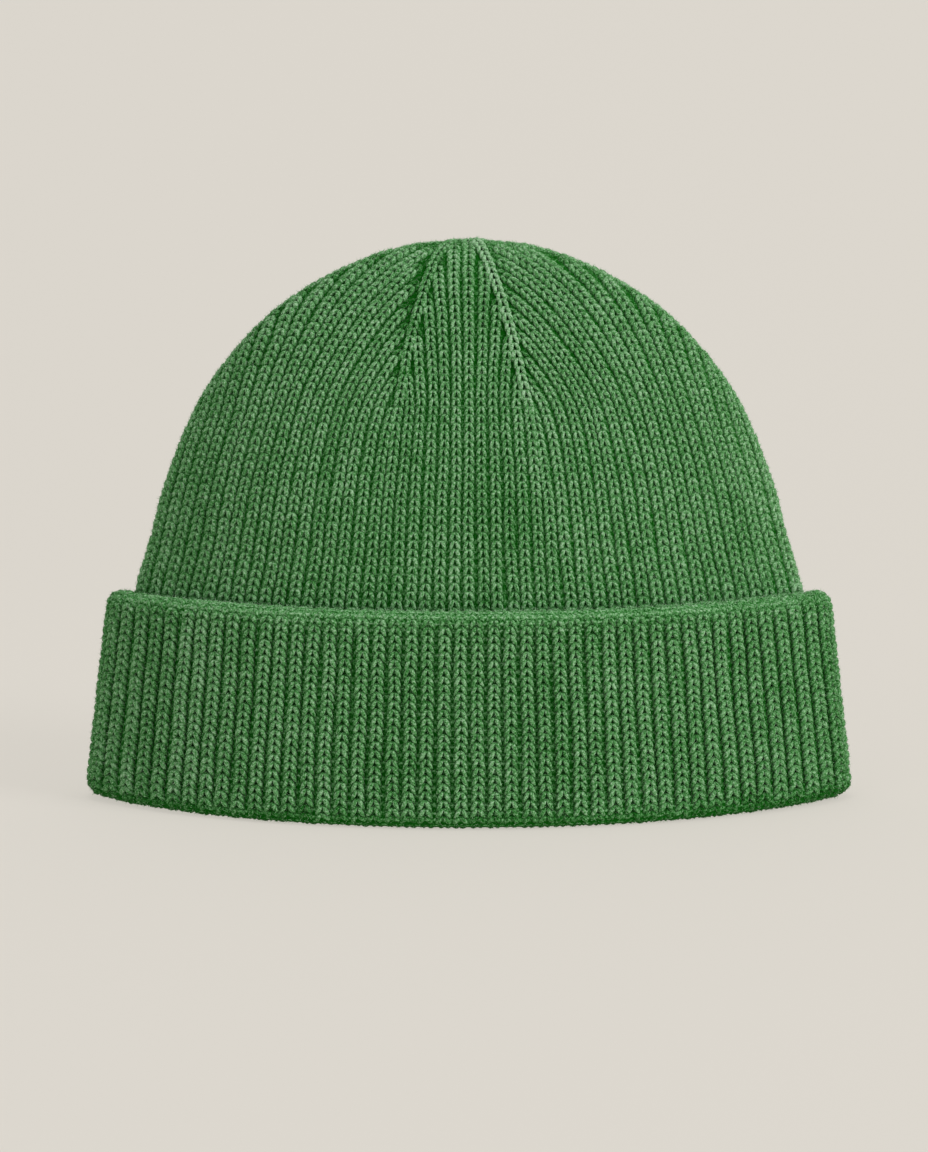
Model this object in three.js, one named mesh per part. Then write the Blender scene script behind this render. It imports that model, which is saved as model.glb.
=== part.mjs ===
// A fisherman beanie in thick rib knit, standing on its turned-up cuff as it does on a shelf.
// It is one knitted tube: the crown is closed by six lines of decreases, and the lower end is
// doubled and turned up outside as the cuff, whose fold passes under the crown's lower edge.
// Millimetres, +Z up, the front faces -Y, and the origin lies on the floor under the middle.
import * as THREE from "three";

// Overall sizes
const hatHeight = 158.3; // floor to the closed top
const hatWidth = 218; // across the cuff just above its fold
const hatDepth = 120; // front to back at the same height
const crownWidth = 189; // across the crown where it comes out of the cuff
const crownDepth = 94; // front to back at the same height

// The two thicknesses of knitting, and the cuff's folds
const cuffHeight = 59.3;
const cuffThickness = 7.4; // the fabric is doubled here
const crownWall = 3.4;
const lipHeight = 5; // the cuff's fold, up to the crown's lower edge
const foldRadius = 4; // rounding of the fold where it turns under the hat
const seatGap = 0.3; // between the crown and the fold it stands in
const cuffGap = 0.4; // between the crown and the cuff around it

// The ribs: one rib is one raised column of stitches and the furrow beside it. The ribs are evenly
// spaced as seen from the front, so they lie further apart where the hat curves back.
const ribsPerQuarter = 24;
const sideStretch = 1.35; // how much further apart they lie round the narrow sides
const crownRibDepth = 1.2;
const cuffRibDepth = 1.5;

// The decreases. The front and back wedges are bounded by four lines of decreases, and two more
// run up the sides. Each line swallows the ribs that meet it.
const wedgeRibs = 6; // ribs in half a wedge, where its decreases begin
const wedgeLoss = 0.22; // how fast they end, as a power of the share left: 0.5 keeps their spacing
const widestWedge = 0.86; // the most of a quarter that half a wedge fills, close to the top
const sideLineRibs = 9.5; // ribs of a side panel that end at the line up the side
const decreaseEase = 0.15; // share of the shaped height over which the ribs bend into the lines

// The crown above the cuff, a row for each section. rise is a share of its height above the cuff,
// width and depth are shares of crownWidth and crownDepth, and tip is the radius of the rounded
// sides as a share of half the section's depth.
const crownSections = [
  { rise: 0.0, width: 1.0, depth: 1.0, tip: 0.16 },
  { rise: 0.142, width: 0.956, depth: 0.962, tip: 0.17 },
  { rise: 0.294, width: 0.913, depth: 0.915, tip: 0.19 },
  { rise: 0.437, width: 0.858, depth: 0.851, tip: 0.22 },
  { rise: 0.558, width: 0.796, depth: 0.77, tip: 0.26 },
  { rise: 0.645, width: 0.733, depth: 0.698, tip: 0.3 },
  { rise: 0.726, width: 0.659, depth: 0.615, tip: 0.34 },
  { rise: 0.802, width: 0.575, depth: 0.526, tip: 0.38 },
  { rise: 0.868, width: 0.474, depth: 0.428, tip: 0.42 },
  { rise: 0.924, width: 0.359, depth: 0.321, tip: 0.46 },
  { rise: 0.964, width: 0.25, depth: 0.221, tip: 0.5 },
  { rise: 0.99, width: 0.13, depth: 0.115, tip: 0.53 },
  { rise: 1.0, width: 0.0, depth: 0.0, tip: 0.56 },
];
const decreaseRow = 4; // the section where the decreases begin
const ribsInRound = 4 * ribsPerQuarter;

// A horizontal section is an oval of four arcs: a wide one at the front and back, and a narrow one
// of radius tip at each side. Places along it are spans: on a wide arc a span is a width as seen
// from the front, and on a narrow one it is a length of the arc divided by sideStretch.
function oval(halfWidth, halfDepth, tip) {
  const reach = halfWidth - tip;
  const wide = (reach ** 2 + halfDepth ** 2 - tip ** 2) / (2 * (halfDepth - tip));
  const turn = Math.asin(reach / (wide - tip));
  const front = wide * Math.sin(turn);
  const quarter = front + (tip * (Math.PI / 2 - turn)) / sideStretch;
  // The point at a span from the front's middle towards +X, and the way out of the section there.
  const at = (span) => {
    const onTip = span > front;
    const angle = onTip ? turn + ((span - front) * sideStretch) / tip : Math.asin(span / wide);
    const outX = Math.sin(angle);
    const outY = -Math.cos(angle);
    if (onTip) return { x: reach + tip * outX, y: tip * outY, outX, outY };
    return { x: wide * outX, y: wide - halfDepth + wide * outY, outX, outY };
  };
  return { quarter, at };
}

// A section of the crown's outside, and the same grown outwards. Below the cuff's upper edge the
// crown spreads evenly down to the fold.
const widest = {
  halfWidth: hatWidth / 2 - cuffThickness - cuffGap,
  halfDepth: hatDepth / 2 - cuffThickness - cuffGap,
};
const waist = { halfWidth: crownWidth / 2, halfDepth: crownDepth / 2 };
function bandSection(height, outwards = 0) {
  const up = (height - foldRadius) / (cuffHeight - foldRadius);
  const halfWidth = THREE.MathUtils.lerp(widest.halfWidth, waist.halfWidth, up);
  const halfDepth = THREE.MathUtils.lerp(widest.halfDepth, waist.halfDepth, up);
  const tip = crownSections[0].tip * halfDepth;
  return { height, ...oval(halfWidth + outwards, halfDepth + outwards, tip + outwards) };
}
function crownSection(row) {
  const halfWidth = waist.halfWidth * row.width;
  const halfDepth = waist.halfDepth * row.depth;
  const height = THREE.MathUtils.lerp(cuffHeight, hatHeight, row.rise);
  return { height, halfDepth, ...oval(halfWidth, halfDepth, row.tip * halfDepth) };
}

// How far a section lies along the decreases, from 0 where they begin to 1 at the top.
const frontPath = crownSections.map(crownSection).reduce((path, here, i, all) => {
  const below = all[Math.max(i - 1, 0)];
  const step = Math.hypot(here.halfDepth - below.halfDepth, here.height - below.height);
  return [...path, (path.at(-1) ?? 0) + step];
}, []);
function shaped(rowIndex) {
  const start = frontPath[decreaseRow];
  return Math.max(0, (frontPath[rowIndex] - start) / (frontPath.at(-1) - start));
}

// Half the wedge's width: an even share of its ribs below the decreases, and above them the square
// root of what is left, so that it closes at the top.
const startQuarter = crownSection(crownSections[decreaseRow]).quarter;
function wedgeWidth(quarter, share) {
  const even = wedgeRibs / ribsPerQuarter;
  if (share === 0) return even * quarter;
  return Math.min(even * startQuarter * Math.sqrt(1 - share), widestWedge * quarter);
}

// Which ribs are left in a quarter at a section, and where they lie. A rib's number counts from
// the front's middle, so that ribs 0 to wedgeRibs are the wedge and the rest are the side panel.
// On the crown a whole number is the raised middle of a rib and a half is a furrow. On the cuff,
// which shows the knitting's other face, it is the other way round. A line of decreases has the
// number midway between those that are gone.
const halfRib = 0.5;
function ribMarks(quarter, share) {
  const eased =
    (Math.hypot(share, decreaseEase) - decreaseEase) / (Math.hypot(1, decreaseEase) - decreaseEase);
  const wedge = wedgeWidth(quarter, share);
  const inWedge = wedgeRibs * (1 - share) ** wedgeLoss;
  const firstOut = wedgeRibs + (ribsPerQuarter - wedgeRibs - sideLineRibs) * eased;
  const lastOut = ribsPerQuarter - sideLineRibs * eased;
  const clear = halfRib / 2; // a mark closer than this to a line of decreases is left out
  const marks = [];
  for (let rib = 0; rib < inWedge - clear; rib += halfRib)
    marks.push({ rib, span: (wedge * rib) / inWedge });
  marks.push({ rib: (inWedge + firstOut) / 2, span: wedge });
  const first = Math.ceil((firstOut + clear) / halfRib) * halfRib;
  for (let rib = first; rib < lastOut - clear; rib += halfRib) {
    const along = (rib - firstOut) / (lastOut - firstOut);
    marks.push({ rib, span: THREE.MathUtils.lerp(wedge, quarter, along) });
  }
  marks.push({ rib: ribsPerQuarter, span: quarter });
  return marks;
}

// Plain sections have few points: wide steps along the flat front, and one a rib round the tips.
const tipRibs = 8;
const wideStep = 4;
function plainMarks(quarter) {
  const marks = [];
  for (let rib = 0; rib < ribsPerQuarter; rib += rib < ribsPerQuarter - tipRibs ? wideStep : 1)
    marks.push({ rib, span: (quarter * rib) / ribsPerQuarter });
  return [...marks, { rib: ribsPerQuarter, span: quarter }];
}

// A ring is a closed loop of points with the rib number of each, from the front's middle round by
// +X. Each point is let in by inwards(mark), against the way out of the wall: out is its level
// part and up its upright part.
const level = { out: 1, up: 0 };
function ring(section, marks, inwards = () => 0, normal = level) {
  const quarter = marks.map((mark) => {
    const { x, y, outX, outY } = section.at(mark.span);
    const depth = inwards(mark);
    return {
      rib: mark.rib,
      x: x - depth * normal.out * outX,
      y: y - depth * normal.out * outY,
      z: section.height - depth * normal.up,
    };
  });
  const half = [...quarter];
  for (const p of quarter.slice(0, -1).reverse())
    half.push({ ...p, rib: 2 * ribsPerQuarter - p.rib, y: -p.y });
  const round = [...half];
  for (const p of half.slice(1, -1).reverse())
    round.push({ ...p, rib: ribsInRound - p.rib, x: -p.x });
  return round;
}
const point = (height) => [{ rib: 0, x: 0, y: 0, z: height }];
const furrow = (depth, place) => (mark) => (mark.rib % 1 === place ? depth : 0);
const onCrown = 0.5;
const onCuff = 0;

// Joins two rings with triangles, so that the edges follow the ribs and a rib that is missing
// above ends in the line of decreases that swallows it.
function join(lower, upper, firstLower, firstUpper, faces) {
  let i = 0;
  let j = 0;
  const next = (loop, k) => (k + 1 < loop.length ? loop[k + 1].rib : ribsInRound);
  const done = (loop, k) => k === (loop.length === 1 ? 0 : loop.length);
  while (!done(lower, i) || !done(upper, j)) {
    const a = firstLower + (i % lower.length);
    const b = firstUpper + (j % upper.length);
    if (done(upper, j) || (!done(lower, i) && next(lower, i) <= next(upper, j))) {
      i += 1;
      faces.push(a, firstLower + (i % lower.length), b);
    } else {
      j += 1;
      faces.push(a, firstUpper + (j % upper.length), b);
    }
  }
}
// A closed solid from rings in order round its wall. A closed wall joins its last ring to its
// first, and any other starts and ends in a point.
function solid(rings, closed) {
  const faces = [];
  const first = [0];
  for (const loop of rings) first.push(first.at(-1) + loop.length);
  const joins = closed ? rings.length : rings.length - 1;
  for (let k = 0; k < joins; k += 1) {
    const above = (k + 1) % rings.length;
    join(rings[k], rings[above], first[k], first[above], faces);
  }
  const geometry = new THREE.BufferGeometry();
  const corners = rings.flat().flatMap(({ x, y, z }) => [x, y, z]);
  geometry.setAttribute("position", new THREE.Float32BufferAttribute(corners, 3));
  geometry.setIndex(faces);
  geometry.computeVertexNormals();
  return geometry;
}

// The crown: outside from the lower edge to the top, then inside from the top down
function crown() {
  const hemHeight = lipHeight + seatGap;
  const ribsBegin = cuffHeight - cuffThickness; // out of sight inside the cuff
  const plain = (section, depth = 0, normal) =>
    ring(section, plainMarks(section.quarter), () => depth, normal);

  // The way out of the wall at a section, from the slope between its neighbours.
  const slope = (i) => {
    const low = crownSection(crownSections[Math.max(i - 1, 0)]);
    const high = crownSection(crownSections[Math.min(i + 1, crownSections.length - 1)]);
    const length = Math.hypot(high.halfDepth - low.halfDepth, high.height - low.height);
    return {
      out: (high.height - low.height) / length,
      up: (low.halfDepth - high.halfDepth) / length,
    };
  };

  const outside = [
    plain(bandSection(hemHeight)),
    plain(bandSection(ribsBegin - crownWall)),
    ribbedBand(bandSection(ribsBegin), furrow(crownRibDepth, onCrown)),
  ];
  const inside = [];
  crownSections.slice(0, -1).forEach((row, i) => {
    const section = crownSection(row);
    const marks = ribMarks(section.quarter, shaped(i));
    outside.push(ring(section, marks, furrow(crownRibDepth, onCrown), slope(i)));
    inside.unshift(plain(section, crownWall, slope(i)));
  });
  return solid([
    point(hatHeight - crownWall),
    ...inside,
    plain(bandSection(hemHeight, -crownWall)),
    ...outside,
    point(hatHeight),
  ]);
}
function ribbedBand(section, inwards, normal) {
  return ring(section, ribMarks(section.quarter, 0), inwards, normal);
}

// The cuff: down inside the fold's lip, which carries the crown's lower edge, under the hat, up the
// ribbed outside, over the rounded upper edge and down beside the crown
function cuff() {
  const round = cuffThickness / 2;
  const middle = cuffGap + round;
  const rings = [];
  const plain = (height, outwards) => {
    const section = bandSection(height, outwards);
    rings.push(ring(section, plainMarks(section.quarter)));
  };
  const ribbed = (height, outwards, depth, angle) => {
    const normal = { out: Math.cos(angle), up: Math.sin(angle) };
    rings.push(ribbedBand(bandSection(height, outwards), furrow(depth, onCuff), normal));
  };

  plain(lipHeight, -crownWall);
  const inner = foldRadius - crownWall;
  for (const angle of [0, 0.25, 0.5].map((share) => share * Math.PI))
    plain(foldRadius - foldRadius * Math.sin(angle), inner - foldRadius * Math.cos(angle));
  const outer = cuffGap + cuffThickness - foldRadius;
  for (const angle of [-0.5, -0.25, 0].map((share) => share * Math.PI)) {
    const height = foldRadius + foldRadius * Math.sin(angle);
    const relief = cuffRibDepth * Math.cos(angle);
    ribbed(height, outer + foldRadius * Math.cos(angle), relief, angle);
  }
  for (const angle of [0, 0.25, 0.5, 0.75].map((share) => share * Math.PI)) {
    const height = cuffHeight - round + round * Math.sin(angle);
    const relief = cuffRibDepth * Math.cos(angle / 2) ** 2;
    ribbed(height, middle + round * Math.cos(angle), relief, angle);
  }
  plain(cuffHeight - round, cuffGap);
  plain(lipHeight, cuffGap);
  return solid(rings, true);
}

function part(name, geometry, colour) {
  const material = new THREE.MeshStandardMaterial({ color: colour, roughness: 0.95, metalness: 0 });
  const mesh = new THREE.Mesh(geometry, material);
  mesh.name = name;
  return mesh;
}

const beanie = new THREE.Group();
beanie.add(part("crown", crown(), 0x436f41));
beanie.add(part("cuff", cuff(), 0x3f6a3d));

export default beanie;
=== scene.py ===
import math

import bpy
import numpy as np
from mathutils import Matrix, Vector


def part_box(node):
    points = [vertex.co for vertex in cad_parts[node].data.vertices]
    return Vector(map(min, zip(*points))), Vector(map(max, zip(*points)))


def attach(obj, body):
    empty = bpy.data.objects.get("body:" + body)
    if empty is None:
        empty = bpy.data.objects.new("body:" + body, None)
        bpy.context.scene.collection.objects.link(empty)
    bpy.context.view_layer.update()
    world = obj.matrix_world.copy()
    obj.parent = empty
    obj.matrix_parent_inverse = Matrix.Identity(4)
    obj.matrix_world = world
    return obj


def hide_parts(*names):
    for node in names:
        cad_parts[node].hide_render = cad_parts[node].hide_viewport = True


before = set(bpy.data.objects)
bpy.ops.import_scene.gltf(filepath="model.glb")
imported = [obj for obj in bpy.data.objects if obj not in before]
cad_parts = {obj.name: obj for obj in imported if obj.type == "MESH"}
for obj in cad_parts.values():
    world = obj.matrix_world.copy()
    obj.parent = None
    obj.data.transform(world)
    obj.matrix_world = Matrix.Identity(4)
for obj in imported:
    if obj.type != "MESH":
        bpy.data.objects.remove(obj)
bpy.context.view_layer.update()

# The camera stands 1.2 m in front of the hat, as a catalogue photographer's does, and looks down
# on it a little. The long lens keeps both sides of the cuff nearly parallel.
mm = 0.001
camera_distance = 1200 * mm
camera_height = 194 * mm
look_down = math.radians(6.23)
camera_data = bpy.data.cameras.new("camera")
camera_data.lens = 133
camera_data.sensor_width = 36
camera_data.shift_x = -0.0043
camera = bpy.data.objects.new("camera", camera_data)
camera.location = (0, -camera_distance, camera_height)
camera.rotation_euler = (math.pi / 2 - look_down, 0, 0)
bpy.context.scene.collection.objects.link(camera)
bpy.context.scene.camera = camera

# The wool: a thick, soft yarn in moss green, spun from fibres of slightly different greens. It is
# matt, with a pale bloom of short fibres where the light grazes it, which is partly a painted sheen,
# and it is painted darker as shade where it is tucked in.


class Channel:
    """A socket in a material's nodes. Sums and products of channels add their Math nodes."""

    def __init__(self, tree, socket=None):
        self.tree = tree
        self.socket = socket

    def node(self, kind, settings=None, inputs=None, output=0):
        """Adds a node, sets its settings first and then its sockets, given by name or by place,
        and gives one of its outputs."""
        node = self.tree.nodes.new(kind)
        for name, value in (settings or {}).items():
            setattr(node, name, value)
        for place, value in (inputs or {}).items():
            if isinstance(value, Channel):
                self.tree.links.new(value.socket, node.inputs[place])
            else:
                node.inputs[place].default_value = value
        return Channel(self.tree, node.outputs[output] if node.outputs else None)

    def maths(self, operation, first, second=0.0):
        return self.node("ShaderNodeMath", {"operation": operation}, {0: first, 1: second})

    def mix(self, first, second):
        """Two colours mixed, with this channel as the share of the second."""
        return self.node("ShaderNodeMix", {"data_type": "RGBA"}, {0: self, 6: first, 7: second}, output=2)

    def stretched(self, low, high):
        """0 up to the low value and 1 from the high value on, with a straight slope between."""
        return self.node("ShaderNodeMapRange", {"clamp": True}, {0: self, 1: low, 2: high, 3: 0.0, 4: 1.0})

    def __add__(self, other):
        return self.maths("ADD", self, other)

    def __radd__(self, other):
        return self.maths("ADD", other, self)

    def __sub__(self, other):
        return self.maths("SUBTRACT", self, other)

    def __rsub__(self, other):
        return self.maths("SUBTRACT", other, self)

    def __mul__(self, other):
        return self.maths("MULTIPLY", self, other)

    def __rmul__(self, other):
        return self.maths("MULTIPLY", other, self)


def from_srgb(red, green, blue):
    """A colour given as 0 to 255, as the linear colour that shaders take."""
    def linear(value):
        share = value / 255
        return share / 12.92 if share <= 0.04045 else ((share + 0.055) / 1.055) ** 2.4
    return (linear(red), linear(green), linear(blue), 1)


deep_green = from_srgb(12, 84, 11)
body_green = from_srgb(87, 149, 85)
pale_green = from_srgb(160, 198, 158)
bloom_green = from_srgb(200, 225, 190)


def new_material(name):
    """A material with no nodes yet, and the channel that adds them."""
    material = bpy.data.materials.new(name)
    material.use_nodes = True
    material.node_tree.nodes.clear()
    return material, Channel(material.node_tree)


ply_count = 3
ply_twist = 2.2
crest_light = 0.46
rung_light = 0.3
mottle_contrast = 3.0
cloud_contrast = 0.25
mottle_relief = 0.8
rung_relief = 2.5
bump_depth = 0.12 * mm


def wool(name, lightness, ply_bump=0.0, rung=0.0, sheen=0.20):
    """Wool yarn. lightness shifts the whole colour, ply_bump is the height of the twisted plies,
    rung is how strongly each row of stitches shows across the furrows as a bump and as a rung of
    painted light, with painted shade between the rows, and sheen is the pale bloom of the loose fibres."""
    material, nodes = new_material(name)

    def attribute(title):
        return nodes.node("ShaderNodeAttribute", {"attribute_name": title}, output=2)

    def noise(scale, detail, roughness):
        inputs = {"Vector": place, "Scale": scale, "Detail": detail, "Roughness": roughness}
        return nodes.node("ShaderNodeTexNoise", None, inputs)

    place = nodes.node("ShaderNodeTexCoord", output=3)
    mottle = noise(scale=1900, detail=3, roughness=0.65)
    cloud = noise(scale=60, detail=2, roughness=0.5)
    yarn = nodes.node("ShaderNodeUVMap", {"uv_map": "yarn"})
    across = nodes.node("ShaderNodeSeparateXYZ", None, {0: yarn}, output=0)
    along = nodes.node("ShaderNodeSeparateXYZ", None, {0: yarn}, output=1)
    ply = nodes.maths("SINE", (across * ply_count + along * ply_twist) * (2 * math.pi))
    rungs = nodes.maths("SINE", along * (2 * math.pi)) * rung

    fibres = (mottle - 0.5) * mottle_contrast + (cloud - 0.5) * cloud_contrast
    # Painted light: lighter over the tops of the legs and on the rungs, with painted shade between the
    # rungs; the tone attribute adds more painted light and shade, and a random difference in colour.
    lit = attribute("crest_painted_light") * crest_light + fibres + rungs * rung_light
    shade = lit + attribute("tone") + lightness
    low = shade.stretched(0.0, 0.5)
    high = shade.stretched(0.5, 1.0)
    colour = high.mix(low.mix(deep_green, body_green), pale_green)
    relief = ply * ply_bump + mottle * mottle_relief + rungs * rung_relief
    bump = nodes.node("ShaderNodeBump", None, {"Height": relief, "Strength": 0.6, "Distance": bump_depth})
    shader = nodes.node("ShaderNodeBsdfPrincipled", None, {
        "Base Color": colour, "Normal": bump, "Roughness": 0.92, "Specular IOR Level": 0.2 * sheen,
        "Sheen Weight": sheen, "Sheen Roughness": 0.45, "Sheen Tint": bloom_green,
    })
    nodes.node("ShaderNodeOutputMaterial", None, {"Surface": shader})
    return material


# The crown: one knitted tube, whose wales (columns of stitches) run up from the cuff to the top.
# Six lines of decreases close it, and each line swallows the wales that meet it. It is made here
# stitch by stitch over a thin wall, which is the back of the knitting, painted dark as shade.
crown_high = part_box("crown")[1]
cuff_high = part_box("cuff")[1]
hat_height = crown_high.z
cuff_height = cuff_high.z
crown_width = 189 * mm
crown_depth = 94 * mm
wales_per_quarter = 24
side_stretch = 1.35
widest_wedge = 0.86
side_line_wales = 9.5
decrease_ease = 0.17
side_loss = 1.04
decrease_row = 5
widest_wedge_spacing = 4.2 * mm
widest_side_spacing = 6.5 * mm
widest_line_spacing = 3.6 * mm
line_share = 1.25
wale_foot = 2 * mm
wale_head = 0.5 * mm
path_step = 0.25 * mm

# A row for each section, from just inside the cuff: shares of the crown's height above the cuff,
# of its width and of its depth, and the radius of its sides as a share of half its depth there.
section_columns = ("rise", "width", "depth", "tip")
crown_sections = np.array([
    (-0.116, 1.015, 1.024, 0.16),
    (0.0, 1.0, 1.0, 0.16),
    (0.142, 0.956, 0.962, 0.17),
    (0.294, 0.913, 0.915, 0.19),
    (0.437, 0.858, 0.851, 0.22),
    (0.558, 0.796, 0.77, 0.26),
    (0.645, 0.733, 0.698, 0.30),
    (0.726, 0.659, 0.615, 0.34),
    (0.802, 0.575, 0.526, 0.38),
    (0.868, 0.474, 0.428, 0.42),
    (0.924, 0.359, 0.321, 0.46),
    (0.964, 0.25, 0.221, 0.50),
    (0.99, 0.13, 0.115, 0.53),
    (1.0, 0.0, 0.0, 0.56),
])


def smooth_rows(rows, steps):
    """Rows of a Catmull-Rom curve through the sections, rounded over at the top."""
    below = 2 * rows[0] - rows[1]
    above = rows[-2] * np.array([1, -1, -1, 1])
    ends = np.vstack([below, rows, above])
    t = np.linspace(0, 1, steps, endpoint=False)[:, None]
    spans = []
    for a, b, c, d in zip(ends, ends[1:], ends[2:], ends[3:]):
        spans.append(0.5 * (2 * b + (c - a) * t + (2 * a - 5 * b + 4 * c - d) * t**2
                            + (3 * b - a - 3 * c + d) * t**3))
    return np.vstack([*spans, rows[-1:]])


steps_between = 40
least_width = 0.02 * mm
least_depth = 0.018 * mm
profile = dict(zip(section_columns, smooth_rows(crown_sections, steps_between).T))
profile_height = cuff_height + profile["rise"] * (hat_height - cuff_height)
profile_width = np.maximum(profile["width"] * crown_width / 2, least_width)
profile_depth = np.maximum(profile["depth"] * crown_depth / 2, least_depth)
profile_steps = np.hypot(np.diff(profile_depth), np.diff(profile_height))
profile_path = np.concatenate([[0], np.cumsum(profile_steps)])
top_path = profile_path[-1]
decrease_path = profile_path[steps_between * decrease_row]


def oval_arcs(half_width, half_depth, tip):
    """An oval of two wide arcs and two narrow ones: the sizes of a quarter of it. Spans are widths
    as seen from the front, and round the narrow arcs they reach side_stretch times as far."""
    reach = half_width - tip
    wide = (reach**2 + half_depth**2 - tip**2) / (2 * (half_depth - tip))
    turn = np.arcsin(np.clip(reach / (wide - tip), -1, 1))
    return reach, wide, turn, wide * np.sin(turn) + tip * (np.pi / 2 - turn) / side_stretch


def on_oval(half_width, half_depth, tip, span):
    """The point at a span along a quarter of the oval, from its front towards +X."""
    reach, wide, turn, quarter = oval_arcs(half_width, half_depth, tip)
    front = wide * np.sin(turn)
    on_tip = span > front
    round_tip = turn + (span - front) * side_stretch / tip
    angle = np.where(on_tip, round_tip, np.arcsin(np.clip(span / wide, -1, 1)))
    x = np.where(on_tip, reach + tip * np.sin(angle), wide * np.sin(angle))
    y = np.where(on_tip, -tip * np.cos(angle), wide - half_depth - wide * np.cos(angle))
    return x, y, np.sin(angle), -np.cos(angle)


def crown_section(path):
    """The crown's section at a length along its front, from just inside the cuff."""
    half_width = np.interp(path, profile_path, profile_width)
    half_depth = np.interp(path, profile_path, profile_depth)
    tip = np.interp(path, profile_path, profile["tip"]) * half_depth
    height = np.interp(path, profile_path, profile_height)
    return height, half_width, half_depth, tip


def crown_point(path, share):
    """A point of the crown's outside, at a share of a quarter of its section."""
    height, half_width, half_depth, tip = crown_section(path)
    quarter = oval_arcs(half_width, half_depth, tip)[3]
    x, y, _, _ = on_oval(half_width, half_depth, tip, share * quarter)
    return np.stack([x, y, height], -1)


def unit(vectors):
    return vectors / np.maximum(np.linalg.norm(vectors, axis=-1, keepdims=True), 1e-12)


def crown_out(path, share):
    """The way out of the crown's surface."""
    nudge_up = 0.4 * mm
    nudge_aside = 0.01
    low = np.clip(path - nudge_up, 0, top_path)
    high = np.clip(path + nudge_up, 0, top_path)
    left = np.clip(share - nudge_aside, 0, 1)
    right = np.clip(share + nudge_aside, 0, 1)
    up = crown_point(high, share) - crown_point(low, share)
    around = crown_point(path, right) - crown_point(path, left)
    return unit(np.cross(around, up))


class Wedge:
    """Half of a wedge between two lines of decreases, and how the line beside it looks. wales is
    how many the half has at its foot, narrowing and loss are how its width and its wales dwindle,
    tone and raised are those of the line's own wale, whose colour is painted
    lighter as a highlight or darker as shade, crease is how many wales wide the bare line beside it
    is, at least and at most, and painted_groove_shade is how much darker the wales are painted, as
    shade, where they end."""

    def __init__(self, wales=6, narrowing=0.58, loss=0.85, tone=0.0, raised=0.1,
                 crease=(0.0, 0.0), painted_groove_shade=0.3):
        self.wales = wales
        self.narrowing = narrowing
        self.loss = loss
        self.tone = tone
        self.raised = raised
        self.crease = crease
        self.painted_groove_shade = painted_groove_shade


def wale_route(path, wedge_half):
    """Where the decreases are: how many wales are left, and how wide the wedge is."""
    wedge_wales = wedge_half.wales
    rise = (path - decrease_path) / (top_path - decrease_path)
    share = np.clip(rise, 0, 1)
    eased = (np.hypot(rise, decrease_ease) + rise) / (math.hypot(1, decrease_ease) + 1)
    eased = 1 - np.maximum(1 - eased, 0) ** side_loss
    quarter = oval_arcs(*crown_section(path)[1:])[3]
    start_quarter = oval_arcs(*crown_section(decrease_path)[1:])[3]
    even = wedge_wales / wales_per_quarter
    narrowed = np.minimum(even * start_quarter * (1 - share) ** wedge_half.narrowing, widest_wedge * quarter)
    wedge = np.where(share > 0, narrowed, even * quarter)
    in_wedge = np.maximum(wedge_wales * (1 - share) ** wedge_half.loss, wedge / widest_wedge_spacing)
    first_out = wedge_wales + (wales_per_quarter - wedge_wales - side_line_wales) * eased
    last_out = wales_per_quarter - side_line_wales * eased
    return quarter, wedge, np.maximum(in_wedge, 1e-3), first_out, last_out


def crown_wale(wale, wedge_half, crease):
    """The path, the place across the quarter and the wales' spacing of one wale, up to its end.
    crease is how many wales wide the bare line is that is left outside the wedge."""
    path = np.arange(wale_foot, top_path - wale_head, path_step)
    wedge_wales = wedge_half.wales
    quarter, wedge, in_wedge, first_out, last_out = wale_route(path, wedge_half)
    wedge_pitch = wedge / in_wedge
    side_pitch = np.minimum((quarter - wedge) / np.maximum(last_out - first_out, 1e-3), widest_side_spacing)
    alive = np.ones_like(path, bool)
    if wale < wedge_wales:
        alive = wale + 0.1 < in_wedge
        span, pitch = wedge_pitch * wale, wedge_pitch
    elif wale == wedge_wales:
        span, pitch = wedge, np.minimum(line_share * wedge_pitch, widest_line_spacing)
    elif wale < wales_per_quarter:
        alive = (first_out + crease < wale) & (wale < last_out - 0.1)
        span, pitch = wedge + side_pitch * (wale - first_out), side_pitch
    else:
        span, pitch = quarter, side_pitch
    ends = len(path) if alive.all() else int(np.argmin(alive))
    return path[:ends], (span / quarter)[:ends], (pitch / quarter)[:ends]


quarters = {"front_right": (1, 1), "back_right": (1, -1), "back_left": (-1, -1), "front_left": (-1, 1)}
random = np.random.default_rng(7)

# How a leg of a stitch runs, a row for each ring of it from the top down: down is a share of the
# row's height, side and thick are shares of half the wale's width, and lift is in millimetres.
leg_columns = ("down", "side", "lift", "thick")
crown_leg = np.array([
    (-0.12, 0.18, -0.95, 0.24),
    (0.14, 0.31, -0.47, 0.40),
    (0.55, 0.56, -0.42, 0.42),
    (0.98, 0.72, -0.58, 0.38),
    (1.34, 0.68, -1.05, 0.22),
])
ring_angles = np.radians([-25, 38, 90, 142, 205])


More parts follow.
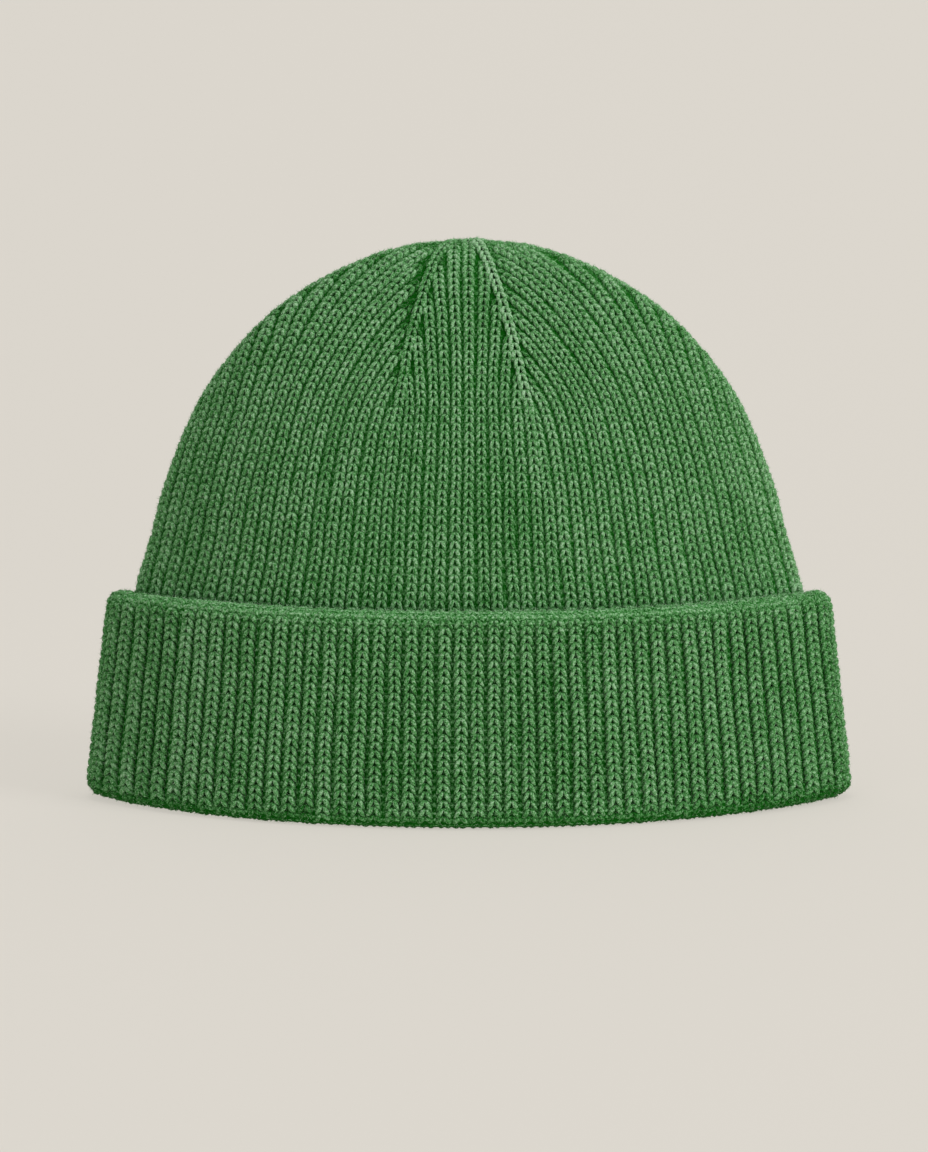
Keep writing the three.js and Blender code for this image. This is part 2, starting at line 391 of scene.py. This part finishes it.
class Knitting:
    """Gathers stitches, and then makes them into one mesh."""

    def __init__(self, leg, row_height):
        self.leg = dict(zip(leg_columns, leg.T))
        self.row_height = row_height
        self.legs = []

    def add_wale(self, points, out, width, tone, raised):
        """Stitches all along a wale, given from its lower end up, with the four values of each
        of its points: the way out, the width, the tone, which holds painted shade and
        light as well as a random difference in colour, and how far it is raised, in mm. Each
        stitch is a little off at random: in height, colour, side and size."""
        steps = np.linalg.norm(np.diff(points, axis=0), axis=1)
        length = np.concatenate([[0], np.cumsum(steps)])
        if length[-1] < self.row_height:
            return
        up = unit(np.gradient(points, axis=0))
        tops = np.arange(self.row_height, length[-1] + 0.3 * self.row_height, self.row_height)
        tops = tops + random.normal(0, 0.03, len(tops)) * self.row_height
        places = tops[:, None] - self.leg["down"] * self.row_height

        def along(values):
            return np.stack([np.interp(places, length, column) for column in values.T], -1)

        centre = along(points) + unit(along(up)) * np.maximum(places - length[-1], 0)[..., None]
        outward = unit(along(out))
        across = unit(np.cross(unit(along(up)), outward))
        half = np.interp(places, length, width / 2)
        colour = np.interp(tops, length, tone) + random.normal(0, 0.025, len(tops))
        wander = np.convolve(random.normal(0, 0.2, len(tops) + 6), np.ones(7) / 7, "valid")
        sway = (wander + random.normal(0, 0.03, len(tops)))[:, None]
        lifted = random.normal(0, 0.06, len(tops))[:, None] + np.interp(places, length, raised)
        for side in (1, -1):
            size = 1 + random.normal(0, 0.06, len(tops))[:, None]
            offset = (side * self.leg["side"] + sway) * half
            height = (self.leg["lift"] + lifted) * mm
            middle = centre + across * offset[..., None] + outward * height[..., None]
            radius = self.leg["thick"] * size * half
            turned = across[:, :, None] * (side * np.cos(ring_angles))[None, None, :, None]
            turned = turned + outward[:, :, None] * np.sin(ring_angles)[None, None, :, None]
            rings = middle[:, :, None] + turned * radius[:, :, None, None]
            rings[..., 2] = np.maximum(rings[..., 2], 0)
            self.legs.append((rings, side, colour + random.normal(0, 0.02, len(tops))))

    def make(self, name, material, nodes):
        """One closed tube for each leg, all in one piece."""
        rings = np.concatenate([legs for legs, _, _ in self.legs])
        sides = np.concatenate([np.full(len(legs), side) for legs, side, _ in self.legs])
        tones = np.concatenate([tone for _, _, tone in self.legs])
        count, ring_count, corner_count = rings.shape[:3]
        per_leg = ring_count * corner_count

        quads = []
        caps = []
        for ring in range(ring_count - 1):
            for corner in range(corner_count):
                after = (corner + 1) % corner_count
                low = ring * corner_count
                high = low + corner_count
                quads.append((low + corner, low + after, high + after, high + corner))
        caps.append(tuple(reversed(range(corner_count))))
        caps.append(tuple(range(per_leg - corner_count, per_leg)))
        quads = np.array(quads)
        caps = np.array(caps)

        def faces_of(template):
            faces = template[None] + (np.arange(count) * per_leg)[:, None, None]
            flipped = faces[:, :, ::-1]
            return np.where(sides[:, None, None] > 0, faces, flipped).reshape(-1, template.shape[1])

        ring_of = np.arange(per_leg) // corner_count
        # Painted light and shade: each leg is painted lighter over its middle ring and darker towards both
        # ends, where it tucks under its neighbours into shade.
        crest_painted_light = np.array([0.0, 0.85, 1.0, 0.75, 0.0])[ring_of]
        values = {
            "tone": np.repeat(tones, per_leg),
            "crest_painted_light": np.tile(crest_painted_light, count),
        }

        # Each leg has a cell of its own in the first map, with its tube across the middle and its
        # caps below and above, and runs on along the yarn in the second map.
        cells = math.ceil(math.sqrt(count))
        cell = np.stack([np.arange(count) % cells, np.arange(count) // cells], -1) / cells
        start = random.random(count)
        yarn_per_ring = 0.45

        def corners_of(template, is_cap):
            ring = template // corner_count
            corner = template % corner_count
            if is_cap:
                angle = corner / corner_count * 2 * np.pi
                u = 0.5 + 0.3 * np.cos(angle)
                v = np.where(ring == 0, 0.05, 0.95) + 0.035 * np.sin(angle)
                wrapped = corner
            else:
                wrapped = corner.copy()
                last = corner_count - 1
                crosses = (corner.min(1) == 0) & (corner.max(1) == last)
                wrapped[crosses] = np.where(corner[crosses] == 0, corner_count, corner[crosses])
                u = 0.04 + 0.92 * wrapped / corner_count
                v = 0.12 + 0.76 * ring / (ring_count - 1)
            cell_uv = np.stack([u, v], -1)[None] / cells + cell[:, None, None]
            yarn_v = ring[None] * yarn_per_ring + start[:, None, None]
            yarn_u = np.broadcast_to(wrapped[None] / corner_count, yarn_v.shape)
            yarn_uv = np.stack([yarn_u, yarn_v], -1)
            turned = sides[:, None, None, None] < 0
            cell_uv = np.where(turned, cell_uv[:, :, ::-1], cell_uv)
            yarn_uv = np.where(turned, yarn_uv[:, :, ::-1], yarn_uv)
            return cell_uv.reshape(-1, 2), yarn_uv.reshape(-1, 2)

        cell_quads, yarn_quads = corners_of(quads, False)
        cell_caps, yarn_caps = corners_of(caps, True)
        maps = {
            "OFBake": np.vstack([cell_quads, cell_caps]),
            "yarn": np.vstack([yarn_quads, yarn_caps]),
        }
        piece = mesh_piece(name, rings.reshape(-1, 3), [faces_of(quads), faces_of(caps)], maps, values)
        finish_piece(piece, material, nodes)
        return rings


def mesh_piece(name, points, faces, maps=None, values=None):
    """A smooth mesh from arrays: faces is a list of arrays, one for each number of corners."""
    mesh = bpy.data.meshes.new(name)
    corners = np.concatenate([some.ravel() for some in faces])
    sizes = np.concatenate([np.full(len(some), some.shape[1]) for some in faces])
    mesh.vertices.add(len(points))
    mesh.vertices.foreach_set("co", np.ascontiguousarray(points, np.float32).ravel())
    mesh.loops.add(len(corners))
    mesh.loops.foreach_set("vertex_index", corners.astype(np.int32))
    mesh.polygons.add(len(sizes))
    mesh.polygons.foreach_set("loop_start", (np.cumsum(sizes) - sizes).astype(np.int32))
    mesh.polygons.foreach_set("use_smooth", np.ones(len(sizes), bool))
    mesh.update(calc_edges=True)
    for title, spots in (maps or {}).items():
        layer = mesh.uv_layers.new(name=title)
        layer.uv.foreach_set("vector", np.ascontiguousarray(spots, np.float32).ravel())
    for title, numbers in (values or {}).items():
        attribute = mesh.attributes.new(title, "FLOAT", "POINT")
        attribute.data.foreach_set("value", np.ascontiguousarray(numbers, np.float32))
    piece = bpy.data.objects.new(name, mesh)
    bpy.context.scene.collection.objects.link(piece)
    return piece


def finish_piece(piece, material, nodes):
    """Gives a piece its wool, and lets it stand for its part of the hat."""
    piece.data.materials.append(material)
    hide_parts(*nodes)
    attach(piece, "root")


def mirrored(vectors, flips):
    return vectors * np.array([flips[0], flips[1], 1])


crown_wool = wool("crown_wool", 0.125, 0.5)
crown_row = 2.33 * mm
widest_wale = 4.4 * mm
wale_share = 0.80
matted_top = 22 * mm
tucked_end = 4 * mm
pale_end = 9 * mm
line_start = 3 * mm
first_side_wale = 20
side_drop = 0.15
fewest_points = 12
open_top = 3 * mm
wedge_halves = {
    "front_left": Wedge(
        wales=6, narrowing=0.50, loss=0.75, tone=-0.04, raised=0.05, crease=(0.08, 0.30), painted_groove_shade=0.85,
    ),
    "front_right": Wedge(
        wales=5, narrowing=0.80, loss=1.07, tone=0.22, raised=0.40, crease=(0.0, 0.12), painted_groove_shade=0.50,
    ),
}
crown_legs = []
for quarter_name, flips in quarters.items():
    wedge_half = wedge_halves.get(quarter_name, Wedge())
    knitting = Knitting(crown_leg, crown_row)
    for wale in range(wales_per_quarter + 1):
        is_shared = (wale == 0 and flips[0] < 0) or (wale == wales_per_quarter and flips[1] < 0)
        path, share, pitch = crown_wale(wale, wedge_half, random.uniform(*wedge_half.crease))
        if is_shared or len(path) < fewest_points:
            continue
        points = mirrored(crown_point(path, share), flips)
        out = mirrored(crown_out(path, share), flips)
        step = np.where(share + pitch > 1, -pitch, pitch)
        beside = mirrored(crown_point(path, share + step), flips)
        spacing = np.linalg.norm(np.cross(beside - points, unit(np.gradient(points, axis=0))), axis=1)
        matted = np.clip(1 - (top_path - path) / matted_top, 0, 1)
        width = np.minimum(wale_share * spacing, widest_wale) * (1 + 0.18 * matted)
        tone = np.full(len(path), random.normal(0, 0.03))
        on_side = max(wale - first_side_wale, 0) / (wales_per_quarter - first_side_wale)
        raised = np.full(len(path), -side_drop * on_side)
        # Painted shade: where a wale ends below the top, it sinks in and is painted darker there, as shade,
        # and a little paler for a few millimetres below that.
        if wale not in (0, wedge_half.wales) and path[-1] < top_path - open_top:
            tucked = np.clip(1 - (path[-1] - path) / tucked_end, 0, 1)
            paler = np.clip(1 - (path[-1] - path) / pale_end, 0, 1)
            raised = raised - 0.6 * tucked
            tone = tone - wedge_half.painted_groove_shade * tucked + 0.12 * paler
        # Painted light: the raised line on the front right is painted lighter as a highlight, and the line
        # on the front left a little darker as shade.
        if wale == wedge_half.wales:
            above = np.clip((path - decrease_path) / line_start, 0, 1)
            tone = tone + wedge_half.tone * above
            raised = raised + wedge_half.raised * above
        knitting.add_wale(points, out, width, tone, raised)
    crown_legs.append(knitting.make("crown_knit_" + quarter_name, crown_wool, ["crown"]))

# The cuff: the lower end of the tube, doubled and turned up outside. Its upper edge is a fold that
# is felted a little with wear, and its lower edge is the fold that the hat stands on.
cuff_thickness = 7.4 * mm
cuff_gap = 0.4 * mm
fold_radius = 4 * mm
roll_radius = cuff_thickness / 2
hem_half_width = cuff_high.x - cuff_thickness - cuff_gap
hem_half_depth = cuff_high.y - cuff_thickness - cuff_gap
cuff_tip = profile["tip"][steps_between]


def cuff_point(height, outwards, share):
    """A point of the cuff, at a height and outwards of the crown's line within it."""
    rise = (height - fold_radius) / (cuff_height - fold_radius)
    half_width = hem_half_width + (crown_width / 2 - hem_half_width) * rise
    half_depth = hem_half_depth + (crown_depth / 2 - hem_half_depth) * rise
    tip = cuff_tip * half_depth
    grown = (half_width + outwards, half_depth + outwards, tip + outwards)
    x, y, out_x, out_y = on_oval(*grown, share * oval_arcs(*grown)[3])
    return np.stack([x, y, height + 0 * x], -1), np.stack([out_x, out_y], -1)


def cuff_profile(step):
    """Along the cuff's outside, from under the hat up to the roll and down beside the crown:
    height, outwards, and how far the way out leans up, as an angle."""
    outer = cuff_gap + cuff_thickness - fold_radius
    middle = cuff_gap + roll_radius
    flat = np.arange(0.6 * mm, outer, step)
    fold = np.arange(-np.pi / 2, 0, step / fold_radius)
    face = np.arange(fold_radius, cuff_height - roll_radius, step)
    roll = np.arange(0, 0.95 * np.pi, step / roll_radius)
    height = np.concatenate([
        0 * flat, fold_radius + fold_radius * np.sin(fold), face,
        cuff_height - roll_radius + roll_radius * np.sin(roll),
    ])
    outwards = np.concatenate([
        flat, outer + fold_radius * np.cos(fold), cuff_gap + cuff_thickness + 0 * face,
        middle + roll_radius * np.cos(roll),
    ])
    lean = np.concatenate([np.full(len(flat), -np.pi / 2), fold, 0 * face, roll])
    return height, outwards, lean


side_lift = 1.2 * mm
back_sag = 2.5 * mm
back_start = 9 * mm


def sagged(points):
    """The cuff's upper edge hangs a little lower at the back, behind the crown, and its lower
    edge is lifted a little at the sides."""
    rise = np.clip(points[..., 2] / cuff_height, 0, 1)
    behind = np.clip(points[..., 1] / back_start, 0, 1)
    aside = np.clip(np.abs(points[..., 0]) / cuff_high.x, 0, 1)
    lift = side_lift * (1 - rise) ** 2 * aside**4 - back_sag * rise**3 * behind
    return points + np.stack([0 * lift, 0 * lift, lift], -1)


roll_fade = 3.5 * mm
fold_fade = 2.5 * mm


def cuff_ends(height, lean):
    """How far a place is on the worn roll at the top, and on the fold at the bottom: 0 to 1."""
    below_roll = (cuff_height - roll_radius - height) / roll_fade
    on_roll = np.where(below_roll > 0, 0.4 * (1 - below_roll), 0.4 + lean / 1.1)
    above_fold = (height - fold_radius) / fold_fade
    on_fold = np.where(above_fold > 0, 0.3 * (1 - above_fold), 0.3 - lean / 1.1)
    return np.clip(on_roll, 0, 1), np.clip(on_fold, 0, 1)


cuff_leg = np.array([
    (-0.12, 0.19, -0.98, 0.24),
    (0.14, 0.31, -0.48, 0.38),
    (0.55, 0.51, -0.42, 0.41),
    (0.98, 0.74, -0.57, 0.36),
    (1.36, 0.90, -1.06, 0.23),
])
cuff_wool = wool("cuff_wool", 0.11, 0.5)
cuff_row = 2.24 * mm
ragged_end = 0.9 * mm
cuff_wale_share = 0.75
felted_share = 0.20
cuff_side_wale = 21
cuff_side_fade = 2
cuff_height_line, cuff_outwards_line, cuff_lean_line = cuff_profile(0.2 * mm)
cuff_halves = {"front": ("front_left", "front_right"), "back": ("back_left", "back_right")}
cuff_legs = []
for piece_name, chosen in cuff_halves.items():
    knitting = Knitting(cuff_leg, cuff_row)
    for quarter_name in chosen:
        flips = quarters[quarter_name]
        for wale in np.arange(0.5, wales_per_quarter):
            share = wale / wales_per_quarter + 0 * cuff_height_line
            points, level = cuff_point(cuff_height_line, cuff_outwards_line, share)
            beside, _ = cuff_point(cuff_height_line, cuff_outwards_line, share - 1 / wales_per_quarter)
            spacing = np.linalg.norm((beside - points)[:, :2], axis=1)
            lean = cuff_lean_line[:, None]
            out = np.hstack([level * np.cos(lean), np.sin(lean)])
            on_roll, on_fold = cuff_ends(cuff_height_line + random.normal(0, ragged_end), cuff_lean_line)
            on_side = np.clip((wale - cuff_side_wale) / cuff_side_fade, 0, 1)
            width = (cuff_wale_share + felted_share * on_roll + felted_share * on_fold) * spacing
            # Painted shade: the wales are painted darker on the fold underneath and round the sides of the
            # cuff, and a little darker on the roll, besides a random difference in colour for each wale.
            tone = random.normal(0, 0.03) - 0.06 * on_roll - 0.85 * on_fold - 0.10 * on_side
            raised = -0.45 * on_roll - 0.55 * on_fold - 0.15 * on_side
            knitting.add_wale(sagged(mirrored(points, flips)), mirrored(out, flips), width, tone, raised)
    cuff_legs.append(knitting.make("cuff_knit_" + piece_name, cuff_wool, ["cuff"]))

# The wall behind the stitches: the back of the knitting, which shows only in the furrows, between
# the legs of the stitches, and inside the hat. It is closed along its edge and at the top.
wall_sink = 0.9 * mm
crown_wall = 3.4 * mm
back_rib = 0.9 * mm
top_hole = 1.2 * mm
full_top = 26 * mm
pale_top = 15 * mm
crease_start = 10 * mm
crease_width = 2.5 * mm


def loop_rows(row_points):
    """Rings all round the hat from rows of a quarter: each row is one ring of points."""
    rings = []
    for quarter in row_points:
        half = np.vstack([quarter, mirrored(quarter[-2::-1], (1, -1))])
        rings.append(np.vstack([half, mirrored(half[-2:0:-1], (-1, 1))]))
    return np.array(rings)


def tube_faces(ring_count, corner_count, closed):
    """Quads between rings in order, and round to the first one where the tube is closed."""
    ring = np.arange(ring_count if closed else ring_count - 1)[:, None]
    corner = np.arange(corner_count)[None]
    after = (corner + 1) % corner_count
    above = (ring + 1) % ring_count
    faces = np.stack([
        ring * corner_count + corner, ring * corner_count + after,
        above * corner_count + after, above * corner_count + corner,
    ], -1)
    return faces.reshape(-1, 4)


def wall_piece(name, rings, rows, tones, caps, material, nodes):
    """A closed wall from rings of points: it joins its last ring to its first, or ends in caps.
    rows is the number of stitches up to each ring, and tones is the painted light and shade at each point."""
    ring_count, corner_count = rings.shape[:2]
    faces = [tube_faces(ring_count, corner_count, caps is None)]
    points = rings.reshape(-1, 3)
    row_of = np.repeat(rows, corner_count)
    tone_of = tones.ravel()
    if caps is not None:
        first = np.arange(corner_count)
        last = first + (ring_count - 1) * corner_count
        low, high = len(points), len(points) + 1
        points = np.vstack([points, caps])
        row_of = np.concatenate([row_of, rows[[0, -1]]])
        tone_of = np.concatenate([tone_of, tones[[0, -1], 0]])
        faces.append(np.stack([np.roll(first, -1), first, np.full_like(first, low)], -1))
        faces.append(np.stack([last, np.roll(last, -1), np.full_like(last, high)], -1))
    corners = np.concatenate([some.ravel() for some in faces])
    maps = {"yarn": np.stack([points[corners, 0] * 300, row_of[corners]], -1)}
    values = {"tone": tone_of, "crest_painted_light": np.full(len(points), 0.5)}
    finish_piece(mesh_piece(name, points, faces, maps, values), material, nodes)


share = np.linspace(0, 1, 2 * wales_per_quarter + 1)
side_sink = 1 - 0.4 * share[:, None] ** 8
outside_paths = np.linspace(0, top_path - top_hole, 90)
outside = []
for path in outside_paths:
    paths = np.full_like(share, path)
    near_top = max(0, 1 - (top_path - path) / full_top)
    sink = wall_sink * (1 - 0.7 * near_top) * side_sink
    outside.append(crown_point(paths, share) - sink * crown_out(paths, share))
inside_paths = outside_paths[::-3]
inside = []
for path in inside_paths:
    paths = np.full_like(share, path)
    rib = np.where(np.arange(len(share)) % 2 == 0, 0.0, back_rib)[:, None]
    inside.append(crown_point(paths, share) - (crown_wall - rib) * crown_out(paths, share))
hem_height = 5.3 * mm
hem = [cuff_point(hem_height, -crown_wall, share)[0], cuff_point(hem_height, -wall_sink, share)[0]]
crown_rings = loop_rows([*inside, *hem, *outside])
first_crown_row = 1.2 * mm
crown_rows = (np.concatenate([inside_paths, [0, 0], outside_paths]) - first_crown_row) / crown_row
crown_caps = np.array([(0, 0, hat_height - crown_wall), (0, 0, hat_height - 0.4 * wall_sink)])
# Painted shade: the wall's wool is painted darker than the stitches', as the shade in the furrows and inside
# the hat.
crown_back_painted_shade_wool = wool("crown_back_painted_shade_wool", -0.12, rung=0.55, sheen=0.05)
# Painted shade on the crown's wall: darker in the creases above the decreases, most of all beside the two
# front lines, and lighter near the top, where the wall lies open.
painted_crease_shade = np.clip((outside_paths - decrease_path) / crease_start, 0, 1)
at_top = np.clip(1 - (top_path - outside_paths) / pale_top, 0, 1)
crown_wall_painted_shade = np.zeros(crown_rings.shape[:2])
for ring, path, deep, high in zip(range(-len(outside_paths), 0), outside_paths, painted_crease_shade, at_top):
    crown_wall_painted_shade[ring] = 0.28 * high - 0.12 * deep
    for side, quarter_name in ((1, "front_right"), (-1, "front_left")):
        quarter, wedge = wale_route(path, wedge_halves[quarter_name])[:2]
        line_x = crown_point(path, wedge / quarter)[0] * side
        near_line = np.clip(1.5 - np.abs(crown_rings[ring, :, 0] - line_x) / crease_width, 0, 1)
        crown_wall_painted_shade[ring] -= 0.35 * deep * (1 - high) * near_line * (crown_rings[ring, :, 1] < 0)
wall_piece(
    "crown_wall", crown_rings, crown_rows, crown_wall_painted_shade, crown_caps, crown_back_painted_shade_wool, ["crown"],
)

wall_step = 0.8 * mm
height_line, outwards_line, lean_line = cuff_profile(wall_step)
lip_height = 5 * mm
lip_foot = 1.6 * mm
lip_bevel = 1.2 * mm
lip = [(lip_height, -crown_wall), (fold_radius, -crown_wall), (lip_foot, -crown_wall + lip_bevel)]
cuff_rings = [cuff_point(height, outwards, share)[0] for height, outwards in lip]
roll_tones, fold_tones = cuff_ends(height_line, lean_line)
sinks = (1.3 - 0.85 * roll_tones - 0.9 * fold_tones) * mm
for height, outwards, lean, sink in zip(height_line, outwards_line, lean_line, sinks):
    points, level = cuff_point(height, outwards, share)
    out = np.hstack([level * math.cos(lean), np.full((len(share), 1), math.sin(lean))])
    cuff_rings.append(points - sink * side_sink * out)
cuff_rings.append(cuff_point(cuff_height - 2 * roll_radius, cuff_gap, share)[0])
cuff_rings.append(cuff_point(lip_height, cuff_gap, share)[0])
# Painted shade on the cuff's wall: lighter on the roll and darker on the fold underneath.
cuff_wall_painted_shade = np.concatenate([np.zeros(3), 0.35 * roll_tones - 0.10 * fold_tones, [0.1, 0]])
cuff_loops = sagged(loop_rows(cuff_rings))
cuff_wall_painted_shade = np.repeat(cuff_wall_painted_shade[:, None], cuff_loops.shape[1], axis=1)
first_cuff_row = 3.9 * mm
cuff_rows = (np.arange(len(cuff_rings)) * wall_step - first_cuff_row) / cuff_row
# Painted shade: the cuff wall's wool is painted darker than the stitches', as the shade in the furrows and
# inside the hat.
cuff_back_painted_shade_wool = wool("cuff_back_painted_shade_wool", -0.10, rung=0.9, sheen=0.05)
wall_piece("cuff_wall", cuff_loops, cuff_rows, cuff_wall_painted_shade, None, cuff_back_painted_shade_wool, ["cuff"])

# The bloom: short loose fibres that stand out of the yarn all over. Each is a thin closed spike.
# The fibres are real; their pale colour is a painted sheen.
painted_sheen_fuzz_wool = wool("painted_sheen_fuzz_wool", 0.80, sheen=0.7)
fibre_lengths = (0.4 * mm, 1.3 * mm)
fibre_radii = (0.045 * mm, 0.08 * mm)
fibre_root = 0.2 * mm
crown_fibres = 29000
cuff_fibres = 26000


def fuzz_piece(name, legs, count, nodes):
    """Fibres that start on the legs of the stitches and lean out at random. They are thickest
    round the sides and over the top, where the surface turns away from the front, so that their
    pale colour paints a sheen along the outline there."""
    facing = unit(legs[:, 2, 2] - (legs[:, 2, 0] + legs[:, 2, 4]) / 2)
    painted_sheen_weight = 0.4 + 2.5 * (1 - np.abs(facing[:, 1])) ** 2
    chosen = random.choice(len(legs), count, p=painted_sheen_weight / painted_sheen_weight.sum())
    ring = random.integers(0, 4, count)
    top = legs[chosen, ring, 2]
    middle = (legs[chosen, ring, 0] + legs[chosen, ring, 4]) / 2
    out = unit(top - middle)
    astray = unit(random.normal(0, 1, (count, 3)))
    way = unit(out * 0.75 + astray)
    side = unit(np.cross(way, astray + 0.01))
    other = np.cross(way, side)
    length = random.uniform(*fibre_lengths, count)[:, None]
    thick = random.uniform(*fibre_radii, count)[:, None]
    start = top - fibre_root * out
    corners = [start + thick * (side * math.cos(turn) + other * math.sin(turn)) for turn in (0, 2.1, 4.2)]
    points = np.stack([*corners, start + way * length], 1).reshape(-1, 3)
    points[:, 2] = np.maximum(points[:, 2], 0)
    spike = np.array([(0, 1, 3), (1, 2, 3), (2, 0, 3), (2, 1, 0)])
    faces = (spike[None] + 4 * np.arange(count)[:, None, None]).reshape(-1, 3)
    cells = math.ceil(math.sqrt(count))
    cell = np.stack([np.arange(count) % cells, np.arange(count) // cells], -1) / cells
    flat = np.array([(0.1, 0.1), (0.5, 0.1), (0.1, 0.5), (0.5, 0.5)])[spike.ravel()]
    spots = (cell[:, None] + flat[None] / cells).reshape(-1, 2)
    values = {
        "tone": np.repeat(random.normal(0, 0.1, count), 4),
        "crest_painted_light": np.full(4 * count, 0.8),
    }
    piece = mesh_piece(name, points, [faces], {"OFBake": spots, "yarn": spots}, values)
    finish_piece(piece, painted_sheen_fuzz_wool, nodes)


fuzz_piece("crown_fuzz", np.concatenate(crown_legs), crown_fibres, ["crown"])
fuzz_piece("cuff_fuzz", np.concatenate(cuff_legs), cuff_fibres, ["cuff"])

# The studio: one pale sweep of paper for floor and backdrop, and soft light from in front, above
# and both sides, as in a catalogue.
paper_colour = from_srgb(228, 223, 214)
paper_in_shade = from_srgb(120, 117, 112)
sweep_front = -1.6
sweep_bend = 0.5
sweep_radius = 0.9
sweep_back = sweep_bend + sweep_radius
sweep_top = 3.0
sweep_half_width = 2.5
angles = np.linspace(0, np.pi / 2, 24)
sweep_y = np.concatenate([[sweep_front], sweep_bend + sweep_radius * np.sin(angles), [sweep_back]])
sweep_z = np.concatenate([[0], sweep_radius - sweep_radius * np.cos(angles), [sweep_top]])
left = np.stack([np.full_like(sweep_y, -sweep_half_width), sweep_y, sweep_z], -1)
right = left * np.array([-1, 1, 1])
count = len(sweep_y)
low = np.arange(count - 1)
sweep_faces = np.stack([low, low + count, low + count + 1, low + 1], -1)
sweep = mesh_piece("paper_sweep", np.vstack([left, right]), [sweep_faces])
paper, paper_nodes = new_material("paper")
paper_shader = paper_nodes.node("ShaderNodeBsdfPrincipled", None, {
    "Base Color": paper_in_shade, "Roughness": 0.9, "Specular IOR Level": 0.1,
    "Emission Color": paper_colour, "Emission Strength": 0.68,
})
paper_nodes.node("ShaderNodeOutputMaterial", None, {"Surface": paper_shader})
sweep.data.materials.append(paper)


def soft_light(name, place, aim, size, power):
    """A square soft box that faces a point."""
    light = bpy.data.lights.new(name, "AREA")
    light.shape = "SQUARE"
    light.size = size
    light.energy = power
    lamp = bpy.data.objects.new(name, light)
    lamp.location = place
    toward = np.array(aim) - np.array(place)
    lamp.rotation_euler = (
        math.atan2(math.hypot(toward[0], toward[1]), -toward[2]), 0, math.atan2(-toward[0], toward[1]),
    )
    bpy.context.scene.collection.objects.link(lamp)


soft_light("key_light", place=(2.6, -1.9, 1.6), aim=(0, 0, 0.08), size=1.5, power=64)
soft_light("fill_light", place=(-1.2, -2.8, 1.3), aim=(0, 0, 0.08), size=1.8, power=13)
soft_light("top_light", place=(0, 0, 2.6), aim=(0, 0, 0.1), size=1.4, power=16)
world = bpy.data.worlds.new("studio_air")
world.use_nodes = True
world.node_tree.nodes["Background"].inputs["Color"].default_value = (1, 1, 1, 1)
world.node_tree.nodes["Background"].inputs["Strength"].default_value = 0.4
bpy.context.scene.world = world
bpy.context.scene.view_settings.view_transform = "Standard"
